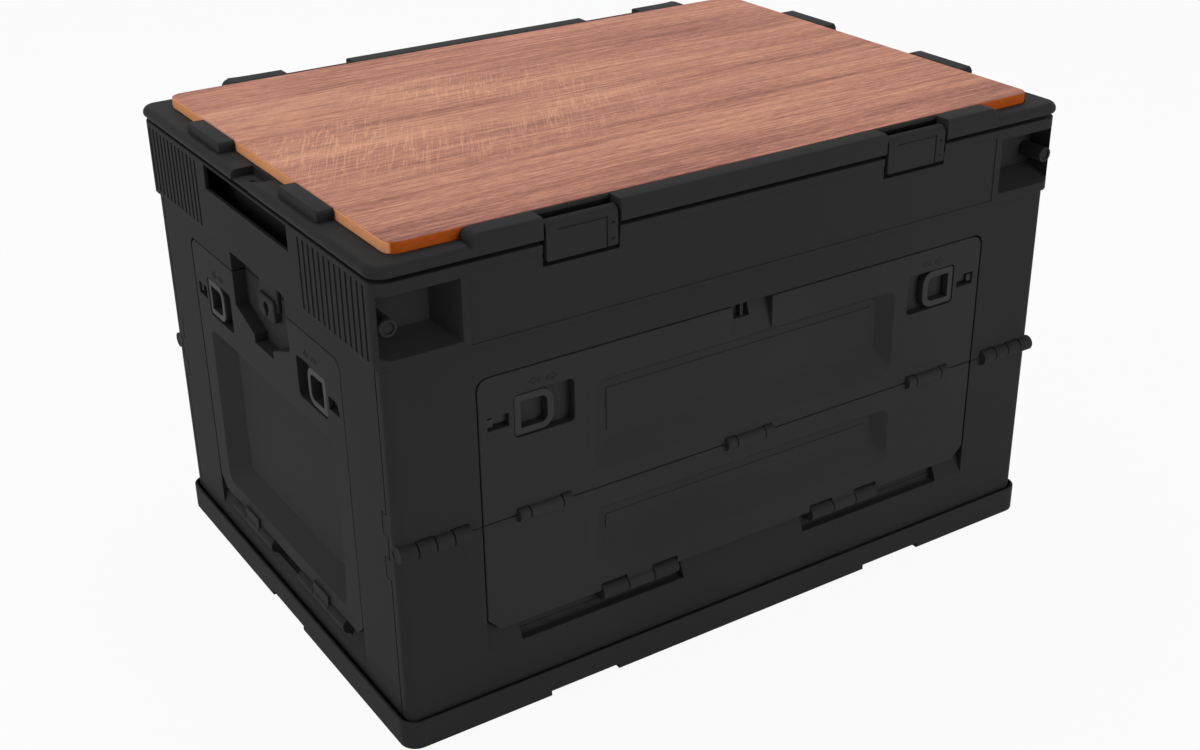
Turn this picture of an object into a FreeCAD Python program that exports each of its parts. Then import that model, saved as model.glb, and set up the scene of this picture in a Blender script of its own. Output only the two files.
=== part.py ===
import FreeCAD, Part
import os

os.makedirs("parts", exist_ok=True)

# A folding camping box: base tray, folding long walls with bi-fold doors, end walls that swing up
# under the top frame, each with its own door, and a latched lid that carries a wooden board.
# Millimetres. The origin is under the middle of the box, +X runs along the front, the front faces -Y.

# Overall sizes
length = 533.0
depth = 374.5
height = 334.4
corner_radius = 11.5
band_inset = 1.4

# Heights of the main pieces, from the top down and from the floor up
board_show = 6.8
lid_thick = 7.7
lid_gap = 2.3
band_height = 53.7
frame_axis_rise = 3.0
base_axis_z = 18.3
rim_top = 20.4

# Fits and soft edges
clearance = 0.4
split_gap = 0.6
door_gap = 1.0
knuckle_gap = 0.8
pin_play = 0.08
pin_cap = 1.5
overrun = 5.0
soft_edge = 0.8
straight_share = 0.999

# Folding walls
wall_inset = 4.4
long_wall_thick = 10.0
end_wall_thick = 12.0
seam_gap = 1.0
wall_edge_radius = 6.0
end_wall_foot = 12.0
hinge_lug_width = 12.0
hinge_lug_thick = 4.5
hinge_eye_radius = 3.6
hinge_pin_radius = 1.8
hinge_pin_reach = 14.0
long_lug_shares = (0.2264, 0.66)
end_lug_margin = 55.0
edge_margin = 8.0
stop_thick = 4.0
stop_reach = 6.0
stop_near = 8.5
stop_far = 23.0

# Mid-height wall hinges at the corners
corner_hinge_width = 49.0
corner_knuckle_count = 4
corner_knuckle_radius = 5.5
corner_pin_radius = 2.0

# Doors in the long walls
door_margin = 63.3
door_low = 63.8
door_top_drop = 25.5
door_thick = 11.0
door_corner_radius = 8.0
door_corner_cut = 9.0
sill_low = 49.2
sill_slope_depth = 6.0
sill_hinge_share = 0.433
sill_hinge_width = 61.0
sill_knuckle_count = 3
sill_axis_in = 2.5
sill_axis_drop = 2.0
sill_knuckle_radius = 5.5
sill_notch_room = 2.6
sill_pin_radius = 2.0
web_share = 0.8
trough_near = 36.0
trough_margin = 24.2
trough_depth = 8.5
trough_drop = 13.0
trough_radius = 3.5
trough_bar_radius = 1.2
trough_bar_rise = 2.8
mid_hinge_margin = 43.4
mid_hinge_width = 39.2
mid_knuckle_shares = (0.2, 0.6, 0.2)
mid_knuckle_radius = 4.5
mid_pin_radius = 1.6

# Sunk panels of the doors, each with its edge at the face and its floor: margins at the sides
# as shares of the half width, those below and above as shares of the leaf's height
upper_panel_shares = ((0.387, 0.12, 0.232), (0.441, 0.303, 0.2925))
lower_panel_shares = ((0.379, 0.249, 0.194), (0.4335, 0.477, 0.27))
end_panel_shares = ((0.16, 0.0756, 0.1665), (0.34, 0.179, 0.191))
panel_radii = (7.0, 4.0)
panel_sink = 7.5
end_panel_sink = 10.0
pad_inset = 5.0
pad_rise = 0.5
core_depth = 2.0
core_rib = 2.5
core_margin = 14.0
long_core_count = 8
end_core_count = 4

# Snap catch in the middle of the door's top edge
catch_half = 16.4
catch_drop = 24.0
catch_sink = 7.5
catch_slot = (-11.9, 0.4)
catch_posts = ((-5.6, -3.2), (0.2, 2.4))
catch_slot_height = 11.0
catch_slot_floor = 1.2
catch_post_rise = 1.5

# Slide locks, measured from the door's top edge and its side edge
lock_drop = 30.8
lock_ring_out = 24.6
lock_ring_width = 28.0
lock_ring_height = 27.0
lock_ring_wall = 4.6
lock_ring_radius = 9.0
lock_ring_corner = 2.0
lock_recess_width = 43.0
lock_recess_height = 29.0
lock_recess_depth = 7.0
lock_recess_radius = 3.2
lock_window_width = 15.0
lock_window_gap = 3.8
lock_window_height = 9.0
lock_bolt_height = 5.0
lock_bolt_front = 3.8
lock_bolt_thick = 2.8
lock_mark_width = 4.0
lock_mark_rise = 2.4
lock_socket_depth = 9.0

# Doors in the end walls, with the funnel and its square catch
end_door_margin = 65.2
end_door_low = 46.6
end_door_top_drop = 20.6
end_door_thick = 13.5
end_sill_low = 29.0
end_axis_drop = 5.0
end_hinge_margin = 62.7
end_hinge_width = 74.0
end_trough_margin = 24.0
end_trough_drop = 10.5
funnel_half = 45.0
funnel_rise = 17.0
funnel_shoulder_drop = 24.0
funnel_throat_half = 15.5
funnel_throat_drop = 35.0
funnel_low_drop = 41.0
funnel_sink = 9.5
stem_half = 15.0
stem_drop = 12.0
stem_gap = 2.2
stem_rise = 2.8
stem_radius = 4.0
stem_soft = 1.2
buckle_half = 13.0
buckle_drop = (19.0, 2.5)
buckle_rise = 5.2
buckle_radius = 3.5
buckle_soft = 1.4
buckle_eye_radius = 4.0
buckle_eye_slot = 3.6
buckle_eye_reach = 6.3

# Base tray
rim_wall = 1.6
floor_low = 3.0
floor_thick = 4.0
foot_width = 12.0
foot_notch_share = 0.504
foot_notch_width = 53.4
foot_notch_height = 4.0
rim_rib_width = 1.6
rim_rib_drop = 2.5
rim_rib_pitch = 33.0
rim_rib_margin = 30.0

# Top frame
frame_skin = 2.5
frame_flange_width = 22.0
skirt_height = 36.0
band_panel_margin = 60.5
band_panel_rise = 3.0
band_panel_drop = 5.0
band_panel_sink = 0.6
pocket_width = 53.7
pocket_slope = 10.0
pocket_depth = 22.0
pocket_rise = 6.6
pocket_floor_rise = 9.0
pocket_drop = 7.9
post_in = 8.1
post_radius = 5.3
post_short = 1.8
post_ring = 1.6
post_dish = 1.2
hand_slot_share = 0.3613
hand_slot_height = 17.3
hand_slot_drop = 1.6
flange_hole = 4.5
flange_hole_in = 11.0
grip_share = 0.432
grip_count = 13
grip_groove_share = 0.42
grip_sink = 0.7
grip_margin = 3.5
latch_notch_depth = 8.0
latch_notch_drop = 14.2
keeper_drop = 7.5
keeper_height = 2.5
keeper_rise = 1.2

# Lid and latches
lid_edge_radius = 4.8
lid_under_radius = 2.6
lid_rest_in = 10.0
lid_rest_width = 4.0
lid_locator_gap = 0.8
lid_locator_width = 3.0
lid_locator_drop = 6.0
latch_share = 0.4897
latch_gap_width = 53.4
latch_width = 49.6
latch_plate_thick = 4.5
latch_plate_drop = 11.1
latch_axis_in = 5.6
latch_axis_rise = 6.0
latch_barrel_radius = 5.0
latch_corner_radius = 1.5
latch_pin_radius = 1.8
latch_pin_seat = 5.0
latch_lip_height = 2.6
latch_line = 1.0
latch_line_sink = 0.7
latch_strip = 7.5
latch_dot_radius = 0.9
latch_dot_margin = 4.5
ridge_margin = 62.2
ridge_short = 2.4
ridge_end_radius = 6.0
ridge_edge_radius = 2.2
ridge_back = 2.2
lug_shares = (0.254, 0.557)
lug_in = 6.5
lug_edge_radius = 3.0
lug_top_share = 0.6
end_notch_width = 27.0
end_notch_in = 15.5
end_notch_slant = 6.0

# Wooden board
board_border_long = 15.0
board_border_end = 18.0
board_radius = 9.0
board_edge = 1.0
board_seat = 1.0
board_play = 0.6

# Worked-out levels
half_length = length / 2
half_depth = depth / 2
band_front = band_inset - half_depth
band_left = band_inset - half_length
lid_top = height - board_show
lid_low = lid_top - lid_thick
frame_top = lid_low - lid_gap
frame_low = frame_top - band_height
frame_axis_z = frame_low + frame_axis_rise
mid_axis_z = (base_axis_z + frame_axis_z) / 2
upper_stop = (mid_axis_z + stop_near, mid_axis_z + stop_far)
lower_stop = (mid_axis_z - stop_far, mid_axis_z - stop_near)
floor_top = floor_low + floor_thick

# Worked-out faces of the walls and edges of the doors
long_edge_radius = long_wall_thick / 2
end_edge_radius = end_wall_thick / 2
long_out = wall_inset - half_depth
long_in = long_out + long_wall_thick
long_mid = long_out + long_edge_radius
long_end = half_length - wall_inset
end_out = wall_inset - half_length
end_in = end_out + end_wall_thick
end_mid = end_out + end_edge_radius
end_half = -long_in - seam_gap
door_half = half_length - door_margin
door_top = frame_axis_z - door_top_drop
opening_half = door_half + door_gap
opening_top = door_top + door_gap
sill_top = door_low - door_gap
end_door_half = half_depth - end_door_margin
end_door_top = frame_axis_z - end_door_top_drop
end_opening_half = end_door_half + door_gap
end_opening_top = end_door_top + door_gap
end_sill_top = end_door_low - door_gap
lock_z = door_top - lock_drop
lock_floor_z = lock_z - lock_recess_height / 2

# Worked-out hinge axes as (y, z), with the long sides and ends both seen from their outside
base_axis = (long_mid, base_axis_z)
frame_axis = (long_mid, frame_axis_z)
end_frame_axis = (end_mid, frame_axis_z)
sill_axis = (long_out + sill_axis_in, door_low - sill_axis_drop)
mid_axis = (long_out, mid_axis_z)
end_axis = (end_out + sill_axis_in, end_door_low - end_axis_drop)
latch_axis = (latch_axis_in - half_depth, lid_low + latch_axis_rise)

# Worked-out places along the sides
sill_hinge_x = door_half * sill_hinge_share
mid_hinge_x = door_half - mid_hinge_margin
corner_hinge_x = long_end - corner_hinge_width / 2
end_hinge_x = end_door_half - end_hinge_margin
end_lug_x = half_depth - end_lug_margin
long_lug_x = [half_length * share for share in long_lug_shares]
long_lugs = [-long_lug_x[1], -long_lug_x[0], long_lug_x[0], long_lug_x[1]]
end_lugs = [-end_lug_x, end_lug_x]
latch_x = half_length * latch_share
latch_gap = (latch_x - latch_gap_width / 2, latch_x + latch_gap_width / 2)
hand_slot_half = half_depth * hand_slot_share
pocket_low = frame_low + pocket_rise
pocket_high = frame_top - pocket_drop
pocket_back = band_front + pocket_depth
keeper_back = band_front + latch_notch_depth
ridge_end = half_length - ridge_margin
ridge_top = height - ridge_short
board_half_length = half_length - board_border_end
board_half_depth = half_depth - board_border_long
board_low = lid_top - board_seat + clearance

up = FreeCAD.Vector(0, 0, 1)
along_x = FreeCAD.Vector(1, 0, 0)
along_y = FreeCAD.Vector(0, 1, 0)
centre = FreeCAD.Vector(0, 0, 0)


def vec(x, y, z):
    return FreeCAD.Vector(x, y, z)


def span(middle, width):
    return (middle - width / 2, middle + width / 2)


def grown(pair, by):
    return (pair[0] - by, pair[1] + by)


def slab(x, y, z):
    """A box between three pairs of low and high."""
    return Part.makeBox(x[1] - x[0], y[1] - y[0], z[1] - z[0], vec(x[0], y[0], z[0]))


def rod(axis, radius, x):
    """A round bar along X, with its axis at (y, z)."""
    return Part.makeCylinder(radius, x[1] - x[0], vec(x[0], axis[0], axis[1]), along_x)


def prism(corners, run):
    """A closed outline, pulled along a vector."""
    return Part.Face(Part.makePolygon(corners + corners[:1])).extrude(run)


def everywhere(point):
    return True


def edges_along(shape, axis, wanted):
    """Straight edges along an axis whose middle passes the test."""
    found = []
    for edge in shape.Edges:
        run = edge.lastVertex().Point - edge.firstVertex().Point
        straight = run.Length > 0 and abs(run.dot(axis)) > run.Length * straight_share
        if straight and wanted(edge.CenterOfMass):
            found.append(edge)
    return found


def soft_top(shape, radius):
    """Round the edges of a piece's top face."""
    top = shape.BoundBox.ZMax
    return shape.makeFillet(radius, [e for e in shape.Edges if e.BoundBox.ZMin > top - radius / 2])


def soft_bottom(shape, radius):
    """Round the edges of a piece's bottom face."""
    low = shape.BoundBox.ZMin
    return shape.makeFillet(radius, [e for e in shape.Edges if e.BoundBox.ZMax < low + radius / 2])


def soft_front(shape, radius):
    """Round the edges of a piece's front face."""
    front = shape.BoundBox.YMin
    return shape.makeFillet(radius, [e for e in shape.Edges if e.BoundBox.YMax < front + radius / 2])


def upright_block(x_half, y_half, radius, z):
    """A block with round upright corners, about the middle of the box."""
    block = slab((-x_half, x_half), (-y_half, y_half), z)
    return block.makeFillet(radius, edges_along(block, up, everywhere))


def inset_block(inset, z):
    """A block that keeps an inset from the outline of the box."""
    radius = max(corner_radius - inset, wall_edge_radius)
    return upright_block(half_length - inset, half_depth - inset, radius, z)


def facing_block(x, z, radius, y):
    """A block whose outline has round corners seen from the front."""
    block = slab(x, y, z)
    return block.makeFillet(radius, edges_along(block, along_y, everywhere))


def cut_low_corners(block):
    """Cut the two lower corners of a door or its opening, seen from the front."""
    middle = block.BoundBox.Center.z
    return block.makeChamfer(door_corner_cut, edges_along(block, along_y, lambda p: p.z < middle))


def round_top_corners(block):
    """Round the two upper corners of a door or its opening, seen from the front."""
    middle = block.BoundBox.Center.z
    return block.makeFillet(door_corner_radius, edges_along(block, along_y, lambda p: p.z > middle))


def turned(shape, angle):
    copy = shape.copy()
    copy.rotate(centre, up, angle)
    return copy


def mirrored(shape):
    return shape.mirror(centre, along_x)


def both_sides(shape):
    return [shape, mirrored(shape)]


def both_ways(shapes, angle=0):
    """Pieces made for one side of the box, there and on the opposite side."""
    return [turned(shape, angle + half) for shape in shapes for half in (0, 180)]


def four_corners(shape):
    """Copies of a piece at all four corners."""
    return both_ways(both_sides(shape))


def save(name, shapes):
    shape = shapes[0] if len(shapes) == 1 else Part.makeCompound(shapes)
    shape.exportStep("parts/" + name + ".step")
    print(name, len(shape.Solids), "solids", round(shape.Volume), "mm3", shape.isValid())


def even_shares(count):
    return [1 / count] * count


def knuckle_runs(middle, width, shares):
    """Where each knuckle of a hinge lies along X, from the left, by its share of the width."""
    ends = [middle - width / 2]
    for share in shares:
        ends.append(ends[-1] + width * share)
    return [grown(run, -knuckle_gap / 2) for run in zip(ends, ends[1:])]


def whole_run(runs):
    return (min(run[0] for run in runs), max(run[1] for run in runs))


def fit_knuckles(shape, axis, radius, pin_radius, runs, own, room=clearance):
    """Give a piece its own knuckles, room for those of its partner, and a bore for the pin."""
    for index, run in enumerate(runs):
        if index % 2 != own:
            shape = shape.cut(rod(axis, radius + room, grown(run, knuckle_gap / 2)))
    shape = shape.fuse([rod(axis, radius, run) for index, run in enumerate(runs) if index % 2 == own])
    return shape.cut(rod(axis, pin_radius + pin_play, grown(whole_run(runs), -pin_cap)))


def hinge_pin(axis, radius, runs):
    return rod(axis, radius, grown(whole_run(runs), -pin_cap - clearance))


sill_shares = even_shares(sill_knuckle_count)
sill_runs = [knuckle_runs(x, sill_hinge_width, sill_shares) for x in (-sill_hinge_x, sill_hinge_x)]
mid_runs = [knuckle_runs(x, mid_hinge_width, mid_knuckle_shares) for x in (-mid_hinge_x, 0, mid_hinge_x)]
right_corner_runs = knuckle_runs(corner_hinge_x, corner_hinge_width, even_shares(corner_knuckle_count))
left_corner_runs = [(-run[1], -run[0]) for run in right_corner_runs]
corner_runs = [left_corner_runs, right_corner_runs]
end_runs = [knuckle_runs(x, end_hinge_width, sill_shares) for x in (-end_hinge_x, end_hinge_x)]


def lug_slots(shape, axis, places, panel_side):
    """Cut the gaps in a wall's round edge where its neighbour's lugs stand, with room to fold inward."""
    for x in places:
        gap = span(x, hinge_lug_width + 2 * clearance)
        reach = end_edge_radius + overrun
        far_z = sorted((axis[1], axis[1] - panel_side * reach))
        far = slab(gap, span(axis[0], 2 * reach), far_z)
        room_z = sorted((axis[1], axis[1] + panel_side * (hinge_lug_thick / 2 + clearance)))
        room = slab(gap, (axis[0], axis[0] + reach), room_z)
        bore = rod(axis, hinge_pin_radius + pin_play, span(x, hinge_lug_width + 2 * hinge_pin_reach))
        shape = shape.cut([far, room, rod(axis, hinge_eye_radius + clearance, gap), bore])
    return shape


def hinge_lug(x, axis, z):
    """An upright lug with a round eye, standing from a tray floor or hanging from a frame."""
    run = span(x, hinge_lug_width)
    lug = slab(run, span(axis[0], hinge_lug_thick), z).fuse(rod(axis, hinge_eye_radius, run))
    return lug.cut(rod(axis, hinge_pin_radius + pin_play, grown(run, overrun)))


def lug_pins(axis, places):
    reach = 2 * (hinge_pin_reach - clearance)
    return [rod(axis, hinge_pin_radius, span(x, hinge_lug_width + reach)) for x in places]


def sill_cut(out, half, low, top):
    """The sloped sill in front of a door's bottom edge."""
    corners = [(out - overrun, low), (out, low), (out + sill_slope_depth, top)]
    above = top + door_corner_cut + overrun
    corners += [(out + sill_slope_depth, above), (out - overrun, above)]
    return prism([vec(-half, y, z) for y, z in corners], vec(2 * half, 0, 0))


def trough(x, y, top, drop):
    """The channel along a sill that a door's bottom hinges lie in, with a thin bar along its back."""
    low = top - drop
    channel = slab(x, (y[0] - overrun, y[1]), (low, top + overrun))
    corner = edges_along(channel, along_x, lambda p: p.y > y[0] and p.z < top)
    bar = rod((y[1], low + trough_bar_rise), trough_bar_radius, x)
    return channel.makeFillet(trough_radius, corner).cut(bar)


def knuckle_roots(shape, axis, runs, back):
    """Tie the fixed knuckles of a door hinge to the wall behind them."""
    z = (axis[1] - sill_knuckle_radius, axis[1])
    return shape.fuse([slab(run, (axis[0], back), z) for run in runs[::2]])


def door_webs(door, axis, runs, low):
    """Tie the moving knuckles of a bottom hinge to the door above them."""
    across = span(axis[0], 2 * sill_knuckle_radius * web_share)
    return door.fuse([slab(run, across, (axis[1], low + sill_knuckle_radius)) for run in runs[1::2]])


def lock_socket(edge_half, out):
    """The hole in a jamb that takes a slide lock's bolt."""
    x = (edge_half - overrun, edge_half + lock_socket_depth)
    y = grown((out + lock_bolt_front, out + lock_bolt_front + lock_bolt_thick), clearance)
    return slab(x, y, span(lock_z, lock_bolt_height + 2 * clearance))


def long_wall_blank(axis, edge_half, z, stop):
    """Half a long wall: a panel with one round hinge edge and two stops that lap over the end walls."""
    wall = slab((-long_end, long_end), (long_out, long_in), z)
    wall = wall.makeFillet(wall_edge_radius, edges_along(wall, up, lambda p: p.y < long_mid))
    wall = wall.fuse(rod(axis, long_edge_radius, (-edge_half, edge_half)))
    stop_x = (long_end - stop_thick, long_end)
    return wall.fuse(both_sides(slab(stop_x, (long_mid, long_in + stop_reach), stop)))


def long_lower_wall():
    edge_half = long_end - wall_edge_radius
    wall = long_wall_blank(base_axis, edge_half, (base_axis_z, mid_axis_z - split_gap / 2), lower_stop)
    across = (long_out - overrun, long_in + overrun)
    opening = slab((-opening_half, opening_half), across, (sill_top, mid_axis_z + overrun))
    wall = wall.cut([cut_low_corners(opening), sill_cut(long_out, opening_half, sill_low, sill_top)])
    back = long_out + trough_depth
    trough_x = (sill_hinge_x - trough_near, door_half - trough_margin)
    wall = wall.cut(both_sides(trough(trough_x, (long_out, back), sill_top, trough_drop)))
    for runs in sill_runs:
        wall = knuckle_roots(wall, sill_axis, runs, back)
        wall = fit_knuckles(wall, sill_axis, sill_knuckle_radius, sill_pin_radius, runs, 0)
    for runs in corner_runs:
        wall = fit_knuckles(wall, mid_axis, corner_knuckle_radius, corner_pin_radius, runs, 0)
    return lug_slots(wall, base_axis, long_lugs, 1).removeSplitter()


def long_upper_wall():
    edge_half = -band_left - pocket_width - edge_margin
    wall = long_wall_blank(frame_axis, edge_half, (mid_axis_z + split_gap / 2, frame_axis_z), upper_stop)
    across = (long_out - overrun, long_in + overrun)
    opening = round_top_corners(slab((-opening_half, opening_half), across, (sill_top, opening_top)))
    wall = wall.cut([opening] + both_sides(lock_socket(opening_half, long_out)))
    for runs in corner_runs:
        wall = fit_knuckles(wall, mid_axis, corner_knuckle_radius, corner_pin_radius, runs, 1)
    return lug_slots(wall, frame_axis, long_lugs, -1).removeSplitter()


def panel_frames(shares, half, z):
    """Half width, low and high edge of a sunk panel at the door's face and at its floor."""
    tall = z[1] - z[0]
    return [(half - half * side, z[0] + tall * low, z[1] - tall * top) for side, low, top in shares]


def sink_panel(door, frames, out, sink):
    """Sink a panel with sloped sides and round corners into a door."""
    rings = []
    for (half, low, high), radius, place in zip(frames, panel_radii, (out, out + sink)):
        block = facing_block((-half, half), (low, high), radius, (place, place + overrun))
        rings += [face.OuterWire for face in block.Faces if face.BoundBox.YMax < place + soft_edge]
    return door.cut(Part.makeLoft(rings, True, True))


def panel_pad(frames, floor):
    """A low pad on the floor of a sunk panel."""
    half, low, high = frames[1]
    pad_x = (pad_inset - half, half - pad_inset)
    return slab(pad_x, (floor - pad_rise, floor + pad_rise), grown((low, high), -pad_inset))


def core_out(door, x_half, z, back, columns, rows):
    """Sink a grid of pockets into a door's inner face, which leaves stiffening ribs."""
    wide = 2 * x_half / columns
    tall = (z[1] - z[0]) / rows
    pockets = []
    for column in range(columns):
        for row in range(rows):
            x = span(-x_half + wide * (column + 1 / 2), wide - core_rib)
            pocket_z = span(z[0] + tall * (row + 1 / 2), tall - core_rib)
            pockets.append(slab(x, (back - core_depth, back + overrun), pocket_z))
    return door.cut(pockets)


def lock_recess(edge_half, out):
    """The sunk bay, window and bolt channel of one slide lock, at the +X side of a door."""
    ring_edge = edge_half - lock_ring_out
    floor = out + lock_recess_depth
    front = out - overrun
    bay_x = (ring_edge + clearance - lock_recess_width, ring_edge + clearance)
    bay = facing_block(bay_x, span(lock_z, lock_recess_height), lock_recess_radius, (front, floor))
    window_x = (ring_edge + lock_window_gap, ring_edge + lock_window_gap + lock_window_width)
    window = slab(window_x, (front, floor), span(lock_z, lock_window_height))
    channel_y = (out + lock_bolt_front - clearance, floor)
    channel_z = span(lock_z, lock_bolt_height + 2 * clearance)
    channel = slab((ring_edge - overrun, edge_half + overrun), channel_y, channel_z)
    return bay.fuse([window, channel])


def slide_lock(edge_half, out):
    """A finger ring with its bolt and the mark that shows in the window, at the +X side of a door."""
    ring_edge = edge_half - lock_ring_out
    x = (ring_edge - lock_ring_width, ring_edge)
    middle = sum(x) / 2
    front = out + clearance
    back = out + lock_recess_depth - clearance
    ring = slab(x, (front, back), span(lock_z, lock_ring_height))
    ring = ring.makeFillet(lock_ring_radius, edges_along(ring, along_y, lambda p: p.x < middle))
    ring = ring.makeFillet(lock_ring_corner, edges_along(ring, along_y, lambda p: p.x > middle))
    ring = soft_front(ring, soft_edge)
    hole_z = span(lock_z, lock_ring_height - 2 * lock_ring_wall)
    hole = slab(grown(x, -lock_ring_wall), (front - overrun, back + overrun), hole_z)
    inner = edges_along(hole, along_y, lambda p: p.x < middle)
    hole = hole.makeFillet(lock_ring_radius - lock_ring_wall, inner)
    bolt_y = (out + lock_bolt_front, out + lock_bolt_front + lock_bolt_thick)
    bolt_z = span(lock_z, lock_bolt_height)
    bolt = slab((ring_edge - lock_ring_wall / 2, edge_half + door_gap - clearance), bolt_y, bolt_z)
    mark_end = ring_edge + lock_window_gap + lock_window_width - clearance
    mark = slab((mark_end - lock_mark_width, mark_end), (bolt_y[0] - lock_mark_rise, bolt_y[1]), bolt_z)
    return ring.cut(hole).fuse([bolt, mark]).removeSplitter()


def long_door_lower():
    back = long_out + door_thick
    door = slab((-door_half, door_half), (long_out, back), (door_low, mid_axis_z - split_gap / 2))
    door = soft_front(cut_low_corners(door), soft_edge)
    frames = panel_frames(lower_panel_shares, door_half, (door_low, mid_axis_z))
    door = sink_panel(door, frames, long_out, panel_sink).fuse(panel_pad(frames, long_out + panel_sink))
    core_z = grown((door_low, mid_axis_z), -core_margin)
    door = core_out(door, door_half - core_margin, core_z, back, long_core_count, 1)
    for runs in sill_runs:
        door = fit_knuckles(door, sill_axis, sill_knuckle_radius, sill_pin_radius, runs, 1, sill_notch_room)
    for runs in mid_runs:
        door = fit_knuckles(door, mid_axis, mid_knuckle_radius, mid_pin_radius, runs, 0)
    return door.removeSplitter()


def cut_catch(door):
    """The sunk snap catch in the middle of a long door's top edge."""
    floor = long_out + catch_sink
    front = long_out - overrun
    back = long_out + door_thick - catch_slot_floor
    above = door_top + overrun
    slot_low = door_top - catch_slot_height
    low = door_top - catch_drop
    ramp = [(front, low), (long_out, low), (floor, door_top), (floor, above), (front, above)]
    bay = prism([vec(-catch_half, y, z) for y, z in ramp], vec(2 * catch_half, 0, 0))
    slot = slab(catch_slot, (front, back), (slot_low, above))
    posts = [slab(x, (floor - catch_post_rise, back), (slot_low, door_top)) for x in catch_posts]
    return door.cut([bay, slot]).fuse(posts)


def long_door_upper():
    back = long_out + door_thick
    door = slab((-door_half, door_half), (long_out, back), (mid_axis_z + split_gap / 2, door_top))
    door = soft_front(round_top_corners(door), soft_edge)
    frames = panel_frames(upper_panel_shares, door_half, (mid_axis_z, door_top))
    door = sink_panel(door, frames, long_out, panel_sink).fuse(panel_pad(frames, long_out + panel_sink))
    core_z = (mid_axis_z + core_margin, lock_floor_z - core_margin / 2)
    door = core_out(door, door_half - core_margin, core_z, back, long_core_count, 1)
    door = cut_catch(door).cut(both_sides(lock_recess(door_half, long_out)))
    for runs in mid_runs:
        door = fit_knuckles(door, mid_axis, mid_knuckle_radius, mid_pin_radius, runs, 1)
    return door.removeSplitter()


def funnel():
    """The stepped hollow round the end door's catch, wide under the frame and narrow below."""
    steps = [(funnel_half, -funnel_rise), (funnel_half, funnel_shoulder_drop)]
    steps += [(funnel_throat_half, funnel_throat_drop), (funnel_throat_half, funnel_low_drop)]
    outline = steps + [(-x, drop) for x, drop in reversed(steps)]
    corners = [vec(x, end_out - overrun, end_door_top - drop) for x, drop in outline]
    return prism(corners, vec(0, overrun + funnel_sink, 0))


def end_wall():
    wall = slab((-end_half, end_half), (end_out, end_in), (end_wall_foot, frame_axis_z))
    edge_half = -pocket_back - edge_margin
    wall = wall.fuse(rod(end_frame_axis, end_edge_radius, (-edge_half, edge_half)))
    across = (end_out - overrun, end_in + overrun)
    opening = slab((-end_opening_half, end_opening_half), across, (end_sill_top, end_opening_top))
    opening = cut_low_corners(round_top_corners(opening))
    wall = wall.cut([opening, sill_cut(end_out, end_opening_half, end_sill_low, end_sill_top), funnel()])
    back = end_out + trough_depth
    trough_half = end_door_half - end_trough_margin
    wall = wall.cut(trough((-trough_half, trough_half), (end_out, back), end_sill_top, end_trough_drop))
    for runs in end_runs:
        wall = knuckle_roots(wall, end_axis, runs, back)
        wall = fit_knuckles(wall, end_axis, sill_knuckle_radius, sill_pin_radius, runs, 0)
    wall = wall.cut(both_sides(lock_socket(end_opening_half, end_out)))
    lap_x = (end_half - stop_reach, end_half + overrun)
    for stop in (lower_stop, upper_stop):
        lap = slab(lap_x, (end_out - overrun, end_out + stop_thick + clearance), grown(stop, clearance))
        wall = wall.cut(both_sides(lap))
    return lug_slots(wall, end_frame_axis, end_lugs, -1).removeSplitter()


def door_catch(floor):
    """The catch in the funnel: a stem that reaches over the door's top edge, and a buckle with a keyhole."""
    stem_z = (end_door_top - stem_drop, frame_low - stem_gap)
    stem_y = (floor - stem_rise, floor - clearance)
    stem = facing_block((-stem_half, stem_half), stem_z, stem_radius, stem_y)
    root_x = grown((-stem_half, stem_half), -stem_radius)
    root = slab(root_x, (floor - stem_rise / 2, floor), (stem_z[0] + stem_radius, end_door_top))
    face = floor - buckle_rise
    low, high = [end_door_top - drop for drop in buckle_drop]
    buckle = facing_block((-buckle_half, buckle_half), (low, high), buckle_radius, (face, floor))
    eye_z = (low + high) / 2
    eye = Part.makeCylinder(buckle_eye_radius, buckle_rise, vec(0, face, eye_z), along_y)
    slot = slab(span(0, buckle_eye_slot), (face, floor), (eye_z - buckle_eye_reach, eye_z))
    return soft_front(stem, stem_soft).fuse([root, soft_front(buckle, buckle_soft)]).cut([eye, slot])


def end_door():
    back = end_out + end_door_thick
    door = slab((-end_door_half, end_door_half), (end_out, back), (end_door_low, end_door_top))
    door = soft_front(cut_low_corners(round_top_corners(door)), soft_edge)
    frames = panel_frames(end_panel_shares, end_door_half, (end_door_low, lock_z))
    door = sink_panel(door, frames, end_out, end_panel_sink)
    core_z = (end_door_low + core_margin, lock_floor_z - core_margin / 2)
    door = core_out(door, end_door_half - core_margin, core_z, back, end_core_count, end_core_count)
    door = door.cut(funnel()).fuse(door_catch(end_out + funnel_sink))
    door = door.cut(both_sides(lock_recess(end_door_half, end_out)))
    for runs in end_runs:
        door = door_webs(door, end_axis, runs, end_door_low)
        door = fit_knuckles(door, end_axis, sill_knuckle_radius, sill_pin_radius, runs, 1)
    return door.removeSplitter()


def rim_ribs(half, edge, out):
    """Short ribs that bridge the groove between the rim and a wall's foot, along one side."""
    reach = half - rim_rib_margin
    count = int(2 * reach / rim_rib_pitch)
    places = [-reach + 2 * reach * i / count for i in range(count + 1)]
    y = (edge + rim_wall / 2, out - clearance)
    return [slab(span(x, rim_rib_width), y, (floor_top - rim_wall, rim_top - rim_rib_drop)) for x in places]


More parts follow.
